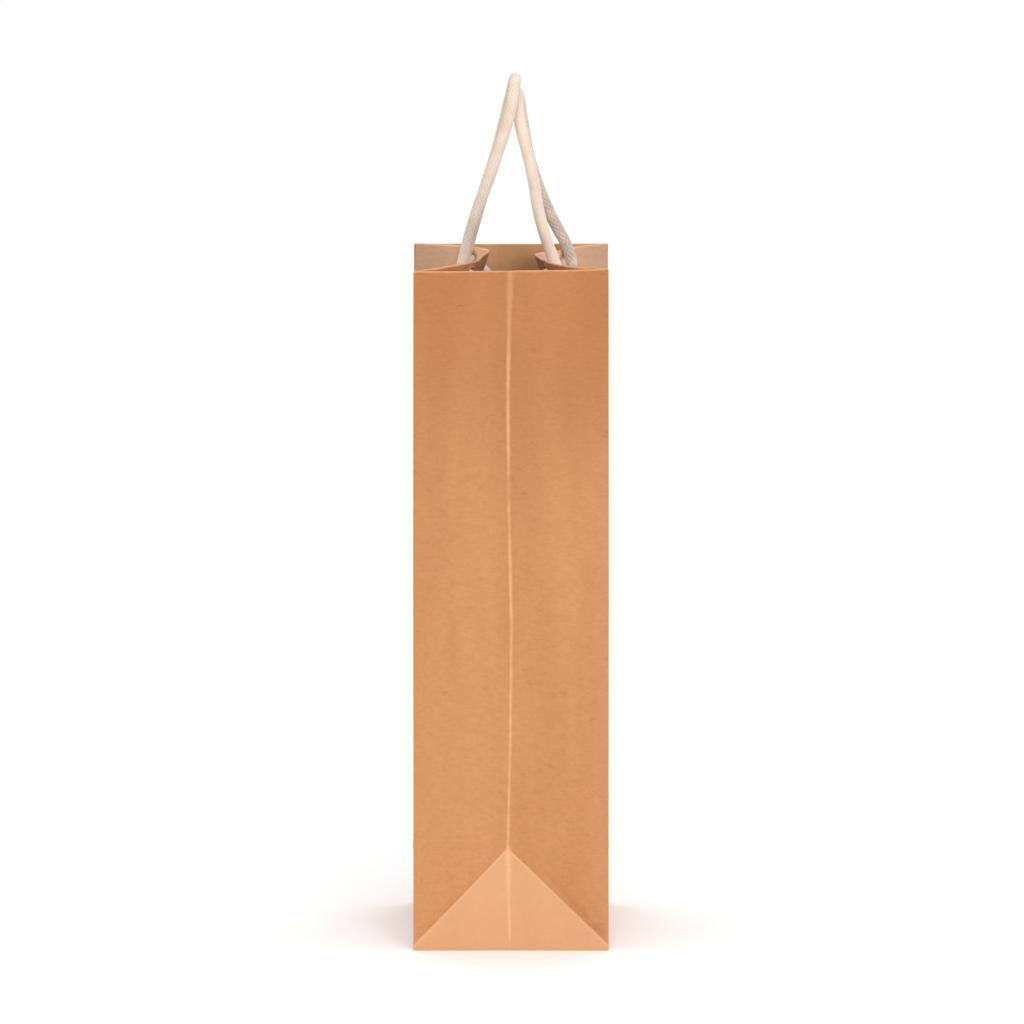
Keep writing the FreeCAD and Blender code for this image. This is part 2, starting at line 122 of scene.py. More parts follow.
class Nodes:
    """A small writer of shader node trees."""

    def __init__(self, name):
        self.material = bpy.data.materials.new(name)
        self.material.use_nodes = True
        self.tree = self.material.node_tree
        self.shader = self.tree.nodes["Principled BSDF"]

    def add(self, kind, inputs=None, **settings):
        node = self.tree.nodes.new(kind)
        for key, value in settings.items():
            setattr(node, key, value)
        for key, value in (inputs or {}).items():
            self.feed(node.inputs[key], value)
        return node

    def feed(self, socket, value):
        if isinstance(value, bpy.types.NodeSocket):
            self.tree.links.new(value, socket)
        else:
            socket.default_value = value

    def math(self, operation, first, second=0.5):
        node = self.add("ShaderNodeMath", operation=operation)
        for socket, value in zip(node.inputs, (first, second), strict=False):
            self.feed(socket, value)
        return node.outputs[0]

    def noise(self, vector, scale, detail=3.0, roughness=0.5):
        node = self.add("ShaderNodeTexNoise", {"Vector": vector, "Scale": scale, "Detail": detail,
                                               "Roughness": roughness})
        return node.outputs["Fac"]

    def stretch(self, vector, scale, rotation=(0, 0, 0)):
        node = self.add("ShaderNodeMapping", {"Vector": vector, "Scale": scale,
                                              "Rotation": rotation})
        return node.outputs["Vector"]

    def ramp(self, value, low, high, to_low=0.0, to_high=1.0):
        node = self.add("ShaderNodeMapRange", {"Value": value, "From Min": low, "From Max": high,
                                               "To Min": to_low, "To Max": to_high},
                        interpolation_type="SMOOTHSTEP")
        return node.outputs["Result"]

    def mix(self, share, first, second, blend="MIX"):
        node = self.add("ShaderNodeMix", data_type="RGBA", blend_type=blend)
        self.feed(node.inputs["Factor"], share)
        colours = [socket for socket in node.inputs if socket.type == "RGBA"]
        for socket, value in zip(colours, (first, second), strict=True):
            self.feed(socket, value)
        return next(socket for socket in node.outputs if socket.type == "RGBA")

    def attribute(self, name):
        return self.add("ShaderNodeAttribute", attribute_name=name).outputs["Fac"]

    def bump(self, height, strength, distance, normal=None):
        inputs = {"Height": height, "Strength": strength, "Distance": distance}
        if normal is not None:
            inputs["Normal"] = normal
        return self.add("ShaderNodeBump", inputs).outputs["Normal"]

    def place(self):
        return self.add("ShaderNodeTexCoord").outputs["Object"]


def linear(red, green, blue):
    """An sRGB colour of 0 to 255 as linear RGBA."""
    values = []
    for channel in (red, green, blue):
        share = channel / 255
        values.append(share / 12.92 if share <= 0.04045 else ((share + 0.055) / 1.055) ** 2.4)
    return (*values, 1.0)


# ---------------------------------------------------------------- materials

KRAFT = linear(203, 142, 94)
KRAFT_DARK = linear(184, 122, 76)
KRAFT_LIGHT = linear(214, 156, 108)
KRAFT_WEAR_AND_HIGHLIGHT = linear(242, 186, 138)
KRAFT_FLECK = linear(140, 88, 52)
KRAFT_SHEEN = linear(204, 175, 152)
KRAFT_FOOT_LIT = linear(230, 178, 136)
KRAFT_INNER_LIT = linear(252, 200, 146)
KRAFT_LIP_PALE = linear(244, 204, 174)
SOFT_SHADE = linear(238, 229, 221)  # multiplies the paper's colour
BOARD_DARK = linear(150, 140, 124)
BOARD_LIGHT = linear(172, 162, 145)
BOARD_SPECK = linear(96, 88, 78)
BOARD_FLECK = linear(206, 198, 182)
COTTON = linear(230, 209, 190)
COTTON_LIGHT = linear(240, 220, 201)
COTTON_FUZZ = linear(206, 184, 160)
COTTON_SOIL_AND_SHADE = linear(196, 182, 166)
COTTON_GAP_SHADE = linear(160, 134, 110)
FLOOR_DARK = linear(250, 250, 250)
FLOOR_LIGHT = linear(253, 253, 253)


def kraft_paper():
    """Brown kraft: cloudy pulp, long fibres, a faint machine direction, flecks, creases rubbed pale with
    painted highlights, and painted shade, sheen and light.
    """
    n = Nodes("kraft_paper")
    place = n.place()
    cloud = n.noise(place, 210.0, 4.0, 0.62)
    patch = n.noise(n.stretch(place, (1, 1, 0.6)), 30.0, 3.0)
    grain = n.noise(n.stretch(place, (2600, 2600, 260)), 1.0, 2.0, 0.6)
    cross = n.noise(n.stretch(place, (420, 420, 3200)), 1.0, 2.0, 0.6)
    speck = n.noise(place, 1300.0, 2.0, 0.6)
    fibre_a = n.noise(n.stretch(place, (3200, 3200, 380), (0.5, 0.9, 0.3)), 1.0, 1.0)
    fibre_b = n.noise(n.stretch(place, (3000, 360, 3000), (0.7, -0.5, 0.9)), 1.0, 1.0)

    colour = n.mix(n.ramp(cloud, 0.3, 0.7, 0.35, 0.65), KRAFT_DARK, KRAFT_LIGHT)
    colour = n.mix(0.5, colour, KRAFT)
    colour = n.mix(n.ramp(patch, 0.35, 0.68, 0.0, 0.10), colour, KRAFT_DARK)
    colour = n.mix(n.ramp(grain, 0.5, 0.75, 0.0, 0.22), colour, KRAFT_DARK)
    colour = n.mix(n.ramp(cross, 0.52, 0.75, 0.0, 0.2), colour, KRAFT_LIGHT)
    colour = n.mix(n.ramp(fibre_a, 0.64, 0.72, 0.0, 0.3), colour, KRAFT_LIGHT)
    colour = n.mix(n.ramp(fibre_b, 0.66, 0.74, 0.0, 0.22), colour, KRAFT_FLECK)
    colour = n.mix(n.ramp(speck, 0.70, 0.80, 0.0, 0.45), colour, KRAFT_FLECK)
    colour = n.mix(n.ramp(speck, 0.30, 0.22, 0.0, 0.35), colour, KRAFT_WEAR_AND_HIGHLIGHT)

    # Painted shade darkens the sheet towards the rim, and a painted grey sheen lies on the outside of the
    # wide faces. Painted light makes the gussets' turned-in rim paler, and the lips are paler near the
    # rim.
    tones = [("rim_painted_shade", 0.95, KRAFT_DARK), ("inner", 0.95, KRAFT_INNER_LIT),
             ("wide_face_sheen", 0.57, KRAFT_SHEEN), ("lip_pale", 0.65, KRAFT_LIP_PALE)]
    for name, share, tone in tones:
        colour = n.mix(n.math("MULTIPLY", n.attribute(name), share), colour, tone)

    # Tall soft streaks, a fine haze and a few small smudges lie over all of these tones.
    streak = n.noise(n.stretch(place, (38, 38, 6)), 1.0, 3.0)
    haze = n.noise(n.stretch(place, (300, 300, 700)), 1.0, 4.0, 0.65)
    smudge = n.noise(n.stretch(place, (130, 130, 230)), 1.0, 2.0)
    colour = n.mix(n.ramp(streak, 0.40, 0.62, 0.0, 0.45), colour, SOFT_SHADE, "MULTIPLY")
    colour = n.mix(n.ramp(haze, 0.42, 0.62, 0.0, 0.35), colour, SOFT_SHADE, "MULTIPLY")
    colour = n.mix(n.ramp(smudge, 0.68, 0.76, 0.0, 0.6), colour, SOFT_SHADE, "MULTIPLY")

    # Painted contact shadow: the foot's edge is darker where it meets the floor.
    sheet = n.attribute("sheet")
    height = n.add("ShaderNodeSeparateXYZ", {"Vector": place}).outputs["Z"]
    colour = n.mix(n.math("MULTIPLY", n.ramp(height, 0.0014, 0.0002, 0.0, 0.5), sheet), colour,
                   KRAFT_DARK)

    # Folds, by distance from each in millimetres. The foot triangles are painted paler, as painted light
    # on their up-facing paper.
    wobble = n.math("MULTIPLY", n.math("SUBTRACT", n.noise(place, 260.0, 3.0), 0.5), 0.9)
    foot = n.attribute("foot_fold")
    foot_light_share = n.math("MULTIPLY", n.ramp(foot, 0.15, -0.35, 0.0, 0.5), sheet)
    colour = n.mix(foot_light_share, colour, KRAFT_FOOT_LIT)
    # The folds, hole rings and rim are rubbed pale and carry a painted highlight.
    broken = n.ramp(n.noise(n.stretch(place, (60, 60, 45)), 1.0, 3.0), 0.34, 0.58, 0.35, 1.0)
    broken = n.math("MULTIPLY", broken, n.ramp(n.attribute("rim_painted_shade"), 0.75, 1.0, 1.0, 0.5))
    centre = n.math("ADD", n.math("ABSOLUTE", n.attribute("centre_fold")), wobble)
    wear_and_highlight = n.math("MULTIPLY", n.ramp(centre, 0.1, 1.3, 0.5, 0.0), broken)
    diagonal = n.math("ADD", n.math("ABSOLUTE", foot), n.math("MULTIPLY", wobble, 0.3))
    wear_and_highlight = n.math("MAXIMUM", wear_and_highlight, n.ramp(diagonal, 0.25, 0.75, 0.55, 0.0))
    ring = n.math("ADD", n.math("ABSOLUTE", n.attribute("line")), wobble)
    wear_and_highlight = n.math("MAXIMUM", wear_and_highlight, n.ramp(ring, 0.2, 1.1, 0.42, 0.0))
    colour = n.mix(n.math("MULTIPLY", wear_and_highlight, sheet), colour, KRAFT_WEAR_AND_HIGHLIGHT)
    n.feed(n.shader.inputs["Base Color"], colour)

    n.feed(n.shader.inputs["Roughness"], n.ramp(cloud, 0.2, 0.8, 0.72, 0.88))
    n.shader.inputs["Specular IOR Level"].default_value = 0.32
    n.shader.inputs["Sheen Weight"].default_value = 0.08

    relief = n.math("ADD", n.math("MULTIPLY", grain, 0.5), n.math("MULTIPLY", cross, 0.5))
    relief = n.math("ADD", relief, n.math("MULTIPLY", fibre_a, 0.7))
    normal = n.bump(relief, 0.35, 0.00006)
    cockle = n.noise(n.stretch(place, (1, 1, 0.5)), 70.0, 2.0)
    normal = n.bump(cockle, 0.4, 0.0004, normal)
    n.feed(n.shader.inputs["Normal"], normal)
    return n.material


def grey_board():
    """Recycled board: grey pulp with dark and light specks."""
    n = Nodes("grey_board")
    place = n.place()
    pulp = n.noise(place, 160.0, 4.0)
    speck = n.noise(place, 1500.0, 2.0, 0.7)
    colour = n.mix(n.ramp(pulp, 0.3, 0.7), BOARD_DARK, BOARD_LIGHT)
    colour = n.mix(n.ramp(speck, 0.62, 0.74, 0.0, 0.6), colour, BOARD_SPECK)
    colour = n.mix(n.ramp(speck, 0.36, 0.26, 0.0, 0.5), colour, BOARD_FLECK)
    n.feed(n.shader.inputs["Base Color"], colour)
    n.feed(n.shader.inputs["Roughness"], n.ramp(pulp, 0.2, 0.8, 0.8, 0.93))
    n.feed(n.shader.inputs["Normal"], n.bump(speck, 0.3, 0.0001))
    return n.material


def cotton_rope():
    """Undyed cotton: soft yarns, greyed in places by soiling and painted shade, with painted shade in the
    gaps of the braid.
    """
    n = Nodes("cotton_rope")
    place = n.place()
    tint = n.noise(place, 130.0, 3.0)
    fuzz = n.noise(place, 2400.0, 3.0, 0.7)
    colour = n.mix(n.ramp(tint, 0.3, 0.7), COTTON, COTTON_LIGHT)
    colour = n.mix(n.ramp(fuzz, 0.55, 0.75, 0.0, 0.35), colour, COTTON_FUZZ)
    # Patches of grey, from soiling and from painted shade.
    patches = n.ramp(n.noise(place, 140.0, 3.0), 0.3, 0.6, 0.5, 1.0)
    soil_shade_share = n.math("MULTIPLY", n.attribute("soil_and_shade"), patches)
    colour = n.mix(soil_shade_share, colour, COTTON_SOIL_AND_SHADE)
    # Painted shade in the gaps of the braid, stronger where the rope is greyed.
    gap = n.ramp(n.attribute("braid"), 0.35, 0.85, 1.0, 0.0)
    gap = n.math("MULTIPLY", gap, n.math("ADD", n.math("MULTIPLY", soil_shade_share, 0.8), 0.05))
    colour = n.mix(gap, colour, COTTON_GAP_SHADE)
    n.feed(n.shader.inputs["Base Color"], colour)
    n.feed(n.shader.inputs["Roughness"], n.ramp(fuzz, 0.2, 0.8, 0.82, 0.95))
    n.shader.inputs["Sheen Weight"].default_value = 0.35
    n.shader.inputs["Sheen Roughness"].default_value = 0.5
    n.shader.inputs["Specular IOR Level"].default_value = 0.25
    yarn = n.math("SINE", n.attribute("yarn"))
    relief = n.math("ADD", n.math("MULTIPLY", yarn, 0.5), fuzz)
    n.feed(n.shader.inputs["Normal"], n.bump(relief, 0.45, 0.00012))
    return n.material


def floor_white():
    n = Nodes("floor_white")
    place = n.place()
    tone = n.noise(place, 3.0, 2.0)
    colour = n.mix(n.ramp(tone, 0.3, 0.7), FLOOR_DARK, FLOOR_LIGHT)
    n.feed(n.shader.inputs["Base Color"], colour)
    n.shader.inputs["Roughness"].default_value = 0.9
    n.shader.inputs["Specular IOR Level"].default_value = 0.1
    return n.material


PAPER_LOOK = kraft_paper()
BOARD_LOOK = grey_board()
ROPE_LOOK = cotton_rope()

# ---------------------------------------------------------------- mesh helpers


def smoothstep(low, high, value):
    share = np.clip((np.asarray(value, float) - low) / (high - low), 0, 1)
    return share * share * (3 - 2 * share)


def hump(distance, width):
    """1 at no distance, fading to 0 like a bell of that width."""
    return np.exp(-(np.asarray(distance, float) / width) ** 2)


def add_mesh(name, vertices, faces, look, attributes=None):
    mesh = bpy.data.meshes.new(name)
    mesh.from_pydata(np.asarray(vertices).tolist(), [], faces)
    mesh.update()
    for key, values in (attributes or {}).items():
        layer = mesh.attributes.new(key, "FLOAT", "POINT")
        layer.data.foreach_set("value", np.asarray(values, np.float32).ravel())
    mesh.shade_smooth()
    obj = bpy.data.objects.new(name, mesh)
    bpy.context.scene.collection.objects.link(obj)
    mesh.materials.append(look)
    return obj


def grid_faces(rows, columns, closed=False):
    """Quads of a grid whose rows follow one another; closed joins each row's end to its start."""
    faces = []
    for row in range(rows - 1):
        for column in range(columns if closed else columns - 1):
            after = (column + 1) % columns
            faces.append((row * columns + column, row * columns + after,
                          (row + 1) * columns + after, (row + 1) * columns + column))
    return faces


def thicken(obj, thickness):
    """Gives a sheet its thickness, inwards from its outer surface, and applies it."""
    solidify = obj.modifiers.new("thickness", "SOLIDIFY")
    solidify.thickness = thickness
    solidify.offset = -1.0
    apply_modifiers(obj)


def apply_modifiers(obj):
    graph = bpy.context.evaluated_depsgraph_get()
    mesh = bpy.data.meshes.new_from_object(obj.evaluated_get(graph))
    obj.modifiers.clear()
    old = obj.data
    obj.data = mesh
    bpy.data.meshes.remove(old)


# ---------------------------------------------------------------- ropes

ROPE_STEP = 0.0005
ROPE_SIDES = 48
STRANDS = 8         # in each direction of the braid
BRAID_LEAD = 0.024  # one turn of a strand
BRAID_RELIEF = 0.00018
YARNS = 5           # fine yarns side by side in a strand
DRIFT_SEED = 0.5    # of the braid's small irregularities
# How far a rope is greyed by soiling and painted shade, against the share of its length from its right
# hole.
CLEAN = [(0, 0.0), (1, 0.0)]
FRONT_SOIL_AND_SHADE = [
    (0, 0.1), (0.06, 0.15), (0.12, 0.5), (0.2, 0.32), (0.3, 0.12), (0.45, 0.3), (0.6, 0.2), (1, 0.4),
]
# Painted shade greys the back rope's far leg.
BACK_PAINTED_SHADE = [(0, 0.0), (0.55, 0.0), (0.68, 0.7), (0.76, 1.0), (1, 1.0)]


def rope_line(name, route):
    """The rope's smooth centre line, as evenly spaced points in metres."""
    curve = bpy.data.curves.new(name, "CURVE")
    curve.dimensions = "3D"
    spline = curve.splines.new("NURBS")
    spline.points.add(len(route) - 1)
    for point, place in zip(spline.points, route, strict=True):
        point.co = (*(value * MM for value in place), 1.0)
    spline.order_u = 3
    spline.use_endpoint_u = True
    curve.resolution_u = 24
    holder = bpy.data.objects.new(name, curve)
    bpy.context.scene.collection.objects.link(holder)
    mesh = bpy.data.meshes.new_from_object(holder)
    points = np.array([v.co[:] for v in mesh.vertices])
    bpy.data.objects.remove(holder)
    bpy.data.meshes.remove(mesh)
    return resample(points, ROPE_STEP)


def resample(points, step):
    """The same line with points a step apart."""
    points = np.asarray(points, float)
    runs = np.linalg.norm(np.diff(points, axis=0), axis=1)
    along = np.concatenate([[0], np.cumsum(runs)])
    count = max(2, int(round(along[-1] / step)) + 1)
    wanted = np.linspace(0, along[-1], count)
    return np.stack([np.interp(wanted, along, points[:, axis]) for axis in range(3)], axis=1)


def frames_along(points):
    """Unit tangent and two sideways directions at each point, without twist."""
    tangents = np.gradient(points, axis=0)
    tangents /= np.linalg.norm(tangents, axis=1)[:, None]
    side = np.cross(tangents[0], [0, 0, 1.0])
    if np.linalg.norm(side) < 1e-3:
        side = np.cross(tangents[0], [0, 1.0, 0])
    sides = []
    for tangent in tangents:
        side = side - tangent * np.dot(side, tangent)
        side /= np.linalg.norm(side)
        sides.append(side)
    sides = np.array(sides)
    return tangents, sides, np.cross(tangents, sides)


def braid_height(angle, along):
    """Relief of a plain braid from 0 to 1, and the distance across its strands."""
    right = STRANDS * (angle / (2 * math.pi) + along / BRAID_LEAD)
    left = STRANDS * (angle / (2 * math.pi) - along / BRAID_LEAD)
    across_right = right - np.round(right)
    across_left = left - np.round(left)
    right_over = (np.round(right) + np.round(left)) % 2 == 0
    across = np.where(right_over, across_right, across_left)
    lengthways = np.where(right_over, across_left, across_right)
    top = np.sqrt(1 - 3.4 * across ** 2) * (1 - 1.6 * lengthways ** 2)
    return top, across * YARNS * 2 * math.pi


def rope_mesh(name, points, radius=ROPE_DIAMETER / 2, rope_sides=ROPE_SIDES, soil_and_shade=CLEAN):
    """A braided rope along a line, with rounded ends, greyed along it by soiling and painted shade as its
    last argument gives.
    """
    _, sides, ups = frames_along(points)
    runs = np.concatenate([[0], np.cumsum(np.linalg.norm(np.diff(points, axis=0), axis=1))])
    angles = np.linspace(0, 2 * math.pi, rope_sides, endpoint=False)
    angle, along = np.meshgrid(angles, runs)
    drift = np.array([[noise.noise(Vector((run * 160, DRIFT_SEED, 2.0))),
                       noise.noise(Vector((run * 160, DRIFT_SEED, 9.0)))] for run in runs])
    height, yarn = braid_height(angle + 0.16 * drift[:, :1], along + 0.0005 * drift[:, 1:])
    from_end = np.clip(np.minimum(runs, runs[-1] - runs) / radius, 0, 1)
    taper = np.sqrt(np.clip(1 - (1 - from_end) ** 2, 0.02, 1))
    swell = 1 + 0.02 * np.array([noise.noise(Vector((run * 90, 3.1, 7.7))) for run in runs])
    reach = (radius + BRAID_RELIEF * (height - 0.8)) * (taper * swell)[:, None]
    offset_side = np.cos(angle) * reach
    offset_up = np.sin(angle) * reach
    vertices = (points[:, None, :] + sides[:, None, :] * offset_side[..., None]
                + ups[:, None, :] * offset_up[..., None]).reshape(-1, 3)
    faces = grid_faces(len(points), rope_sides, closed=True)
    faces.append(tuple(range(rope_sides))[::-1])
    last = (len(points) - 1) * rope_sides
    faces.append(tuple(range(last, last + rope_sides)))
    faces = [face[::-1] for face in faces]
    soil_shade_along = np.interp(runs / runs[-1], *zip(*soil_and_shade, strict=True))
    soil_shade_along = np.repeat(soil_shade_along[:, None], rope_sides, axis=1)
    return add_mesh(name, vertices, faces, ROPE_LOOK, {"braid": height, "yarn": yarn, "soil_and_shade": soil_shade_along})


def past_ends(points, distance):
    """The line with a straight stretch added at each end."""
    first = points[0] - points[1]
    last = points[-1] - points[-2]
    first = points[0] + first / np.linalg.norm(first) * distance
    last = points[-1] + last / np.linalg.norm(last) * distance
    return resample(np.concatenate([[first], points, [last]]), ROPE_STEP)


def add_handle(name, route, soil_and_shade):
    """A handle's rope. Its round ends are centred on the hinge line, as in the CAD."""
    points = past_ends(rope_line(f"{name}_route", route), ROPE_DIAMETER / 2)
    rope = rope_mesh(f"{name}_handle_braid", points, soil_and_shade=soil_and_shade)
    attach(rope, f"{name}_handle")
    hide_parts(f"{name}_handle_rope")


add_handle("front", FRONT_ROPE, FRONT_SOIL_AND_SHADE)
add_handle("back", BACK_ROPE, BACK_PAINTED_SHADE)

# ---------------------------------------------------------------- the folded paper's shape

WIDE_FACES = {"front": (FRONT_BOW, FRONT_HOLES, -1), "back": (BACK_BOW, BACK_HOLES, 1)}
GUSSETS = {"right": -1, "left": 1}
APEX = FOOT_POINT + 0.003           # top of the foot triangles
FOOT_EDGE = 0.002                   # where their sloping creases meet the corners
DEEPEST = 0.0030                    # so that the loose card can slide past
FOOT_DIP = {-1: 0.0016, 1: 0.0032}  # above the diagonals, on the front and back halves
# Where each gusset's centre crease wanders to, along X, at heights from the foot up, in millimetres.
CREASE_WANDER = {
    "right": [(0, -0.6), (50, -1.8), (110, -0.4), (170, 0.2), (230, -1.2), (290, -1.6), (350, -0.6)],
    "left": [(0, 0.4), (50, 1.0), (110, 0.3), (170, -1.0), (230, -2.6), (290, -4.4), (350, -6.6)],
}
# Half the width of the centre crease's pale line of wear and painted highlight, at heights, in
# millimetres.
CREASE_WIDTH = [
    (0, 0.15), (5, 0.25), (9, 0.9), (30, 1.2), (50, 1.9), (52, 1.7), (54, 0.8), (200, 1.0),
    (325, 1.3), (336, 1.9), (350, 2.3),
]
DISH = 0.0003                       # how far a wide face dishes in
SLACK = 0.00025                     # depth of its buckles, low down
RIM_SLACK = 0.0006                  # added to that towards the rim
FLAT_FOLD = 0.00025                 # ridge where the foot was folded up for storage
HOLE_RING = 0.0054                  # radius of the ring of lifted paper round a hole
RING_LIFT = 0.0006
FOOT_DIP_START = 0.0009             # the dip sets in within this of a diagonal
FOOT_DIP_FADE = 0.0055              # and fades over this
CREASE_RIDGE = 0.00022              # height of a gusset's centre crease
CREASE_SPREAD = 0.0010
PRESSED_RIDGE = 0.0004              # the same crease, pressed wide near the rim
PRESSED_SPREAD = 0.0036
PRESSED_FOOT = 0.325                # pressed from this height
PRESSED_FULL = 0.348                # and fully from this one
GUSSET_BUCKLE = 0.00035
CORNER_LIFT = 0.0016                # of the rim at its near back corner
CORNER_LIFT_REACH = 0.03
RIM_WAVE = 0.00015


def pinch_at(height):
    """Share of the rim's pinch at a height: 0 up to the waist, 1 at the rim."""
    return np.clip((np.asarray(height, float) - WAIST) / (RIM - WAIST), 0, 1) ** PINCH_POWER


def half_chord(height):
    """Half the distance between the gussets at a height."""
    return HALF_WIDE - RIM_INSET * pinch_at(height) ** 2


def waves(x, y, z, wavelength, seed=0.0):
    """Smooth random waves between about -1 and 1."""
    places = np.stack(np.broadcast_arrays(x, y, z), axis=-1).reshape(-1, 3) / wavelength + seed
    values = np.array([noise.noise(place) for place in places.tolist()])
    return values.reshape(np.broadcast(x, y, z).shape)


def hermite(knots, values, wanted):
    """Smooth curve through values at uneven knots; values may differ from point to point."""
    gaps = np.diff(knots)
    secants = np.diff(values, axis=-1) / gaps
    inner = (secants[..., :-1] * gaps[1:] + secants[..., 1:] * gaps[:-1]) / (gaps[1:] + gaps[:-1])
    slopes = np.concatenate([secants[..., :1], inner, secants[..., -1:]], axis=-1)
    index = np.clip(np.searchsorted(knots, wanted, side="right") - 1, 0, len(knots) - 2)
    gap = gaps[index]
    t = (wanted - knots[index]) / gap

    def pick(array, where):
        return np.take_along_axis(array, where[..., None], axis=-1)[..., 0]

    return ((2 * t ** 3 - 3 * t ** 2 + 1) * pick(values, index)
            + (t ** 3 - 2 * t ** 2 + t) * gap * pick(slopes, index)
            + (3 * t ** 2 - 2 * t ** 3) * pick(values, index + 1)
            + (t ** 3 - t ** 2) * gap * pick(slopes, index + 1))


def hole_distance(name, along, height):
    """Distance on the paper from the nearest rope hole's centre."""
    holes = WIDE_FACES[name][1]
    return np.min([np.hypot(along - at * MM, height - HOLE_HEIGHT) for at in holes], axis=0)


def wide_point(name, along, height):
    """Points of a wide face's outer surface; along is measured on the paper from its right edge."""
    bow, _, side = WIDE_FACES[name]
    pinch = pinch_at(height)
    knots = np.array([at for at, _ in bow]) * MM
    depths = np.array([depth for _, depth in bow]) * MM * pinch[..., None]
    runs = np.sqrt(np.diff(knots) ** 2 - np.diff(depths, axis=-1) ** 2)
    ys = np.concatenate([np.zeros_like(runs[..., :1]), np.cumsum(runs, axis=-1)], axis=-1)
    chord = half_chord(height)[..., None]
    ys = ys / ys[..., -1:] * 2 * chord - chord
    depth = hermite(knots, depths, along)
    y = hermite(knots, ys, along)

    # The face dishes in a little and buckles, more towards the rim; both fade at the creases.
    middle = np.sin(math.pi * np.clip(along / (2 * HALF_WIDE), 0, 1))
    belly = np.sin(math.pi * np.clip(height / RIM, 0, 1))
    buckle = waves(side * 0.3, along, height, 0.05, seed=11.0)
    slack = SLACK + RIM_SLACK * smoothstep(WAIST, RIM, height)
    depth = depth + DISH * middle * belly + slack * buckle * middle * smoothstep(0, 0.02, height)
    # The bag is stored flat with its foot folded up, which leaves a crease across.
    depth = depth - FLAT_FOLD * hump(height - APEX, 0.0008) * smoothstep(0, 0.3, middle)
    # The paper lifts in a ring round each rope hole.
    depth = depth - RING_LIFT * hump(hole_distance(name, along, height) - HOLE_RING, 0.0012)
    return np.stack([side * (HALF_GUSSET - depth), y, height + 0 * along], axis=-1)


def foot_rise(height):
    """Share of the way up the foot triangle."""
    return (height - FOOT_EDGE) / (APEX - FOOT_EDGE)


def foot_distance(share, height):
    """Distance on the paper from the foot's diagonal creases: negative inside the triangle."""
    return (foot_rise(height) - (1 - np.abs(share))) * APEX * math.sqrt(0.5)


def gusset_point(name, share, height):
    """Points of a gusset's outer surface; share runs from -1 at the front corner to 1 at the back."""
    side = GUSSETS[name]
    wander = np.interp(height / MM, *zip(*CREASE_WANDER[name], strict=True)) * MM
    x = HALF_GUSSET * share + wander * (1 - np.abs(share))
    tuck = TUCK * (1 - 0.6 * pinch_at(height))
    depth = tuck * np.clip(foot_rise(height), 0, 1 - np.abs(share))

    # Above each diagonal the paper is drawn in behind the foot's folded edge.
    across = foot_distance(share, height)
    dip = np.where(share < 0, FOOT_DIP[-1], FOOT_DIP[1])
    drawn = smoothstep(0, FOOT_DIP_START, across) * np.exp(-np.clip(across, 0, 1) / FOOT_DIP_FADE)
    depth = depth + dip * drawn * smoothstep(0.0, 0.12, 1 - np.abs(share))
    depth = np.minimum(depth, DEEPEST)

    # The centre crease stands up as a narrow ridge, and is pressed flat and wide near the rim.
    from_crease = x - wander
    ridge = hump(from_crease, CREASE_SPREAD) * smoothstep(0, 0.01, height)
    pressed = hump(from_crease, PRESSED_SPREAD) * smoothstep(PRESSED_FOOT, PRESSED_FULL, height)
    depth = depth - CREASE_RIDGE * ridge - PRESSED_RIDGE * pressed

    middle = np.clip(1 - share ** 2, 0, 1)
    buckle = waves(side * 0.4, x, height, 0.045, seed=23.0)
    depth = depth + GUSSET_BUCKLE * buckle * middle * smoothstep(0.0, 0.02, height)
    return np.stack([x, side * (half_chord(height) - depth), height + 0 * share], axis=-1)


# ---------------------------------------------------------------- the sheet's mesh

BOARD = 0.0008
PLY_GAP = 0.00005
WIDE_STACK = 2 * PAPER + BOARD + 3 * PLY_GAP  # panel, card and turned-over rim
GUSSET_STACK = 2 * PAPER + PLY_GAP
UNDER_PANEL = PAPER + PLY_GAP                 # where plies glued inside a wide face start
CARD_MARGIN = 0.012                           # between a rim board's end and the corner crease
CARD_ENDS = (CARD_MARGIN, 2 * HALF_WIDE - CARD_MARGIN)
CARD_EASE = 0.0015                            # the hem comes down off a board's end over this

HOLE_RADIUS = 0.0034
PATCH = 0.005      # half the square of finer mesh round a rope hole
PATCH_CELLS = 12
FOOT_CELLS = 64
FOLD_STEPS = 8
ROW_STEP = 0.0026
COLUMN_STEP = 0.0017
TURNED = 1.6       # fold angle past which paper faces into the bag
NO_FOLD = 9.0      # millimetres, too far from a fold to show it
SHEEN_FOOT = 0.12   # the painted grey sheen on the wide faces starts here
SHADE_FOOT = 0.20   # painted shade on the whole outside deepens from here up
LIP_PLACE = 0.080  # along a wide face, from its right edge
LIP_WIDTH = 0.014
LIP_FOOT = 0.322   # the lips are paler from this height
LIP_FULL = 0.342   # and fully from this one


def fill(marks, step):
    """The marks, with even points added so that no gap is over a step."""
    marks = sorted(set(round(float(mark), 7) for mark in marks))
    points = [marks[0]]
    for start, end in zip(marks[:-1], marks[1:], strict=True):
        parts = max(1, math.ceil((end - start) / step - 1e-6))
        points.extend(start + (end - start) * part / parts for part in range(1, parts + 1))
    return np.array(points)


def square_round(centre):
    """Marks across the square of finer mesh round a hole."""
    return list(np.linspace(centre - PATCH, centre + PATCH, PATCH_CELLS + 1))


